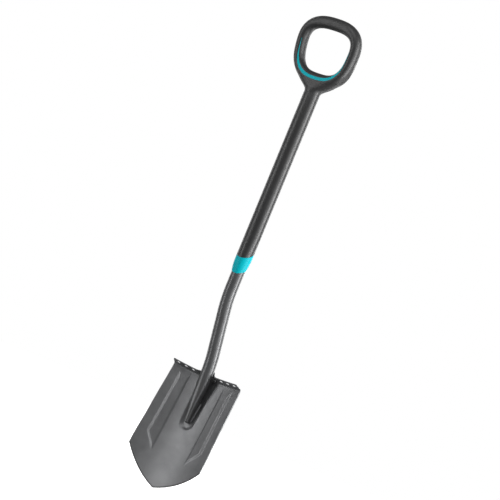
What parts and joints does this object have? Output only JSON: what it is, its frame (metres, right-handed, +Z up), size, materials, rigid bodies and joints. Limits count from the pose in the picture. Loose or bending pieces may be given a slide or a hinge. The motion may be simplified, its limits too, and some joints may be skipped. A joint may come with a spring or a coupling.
{
  "type": "garden spade",
  "caption": "Pointed garden spade: dished steel blade with folded treads, cranked tubular shaft, plastic sleeve and D-handle.",
  "frame": {"origin": "the tip of the blade, on its dished front face", "axes": "+Z up, parallel to the upper shaft; -Y is the front, the side that the dished blade faces; X is across the blade"},
  "size_m": [0.199, 0.0967, 1.1003],
  "materials": {
    "blade_coat": "satin",
    "tube_coat": "satin",
    "weld": "satin",
    "collar_plastic": "satin",
    "sleeve_plastic": "matte",
    "handle_plastic": "matte",
    "inlay_plastic": "satin",
    "plug_plastic": "matte",
    "zinc": "satin"
  },
  "bodies": {
    "root": {"blade": "blade_coat", "weld_seam": "weld", "shaft_tube": "tube_coat", "collar": "collar_plastic", "shaft_sleeve": "sleeve_plastic", "handle_frame": "handle_plastic", "handle_inlay": "inlay_plastic", "tube_plug": "plug_plastic", "handle_screw": "zinc"}
  },
  "joints": []
}
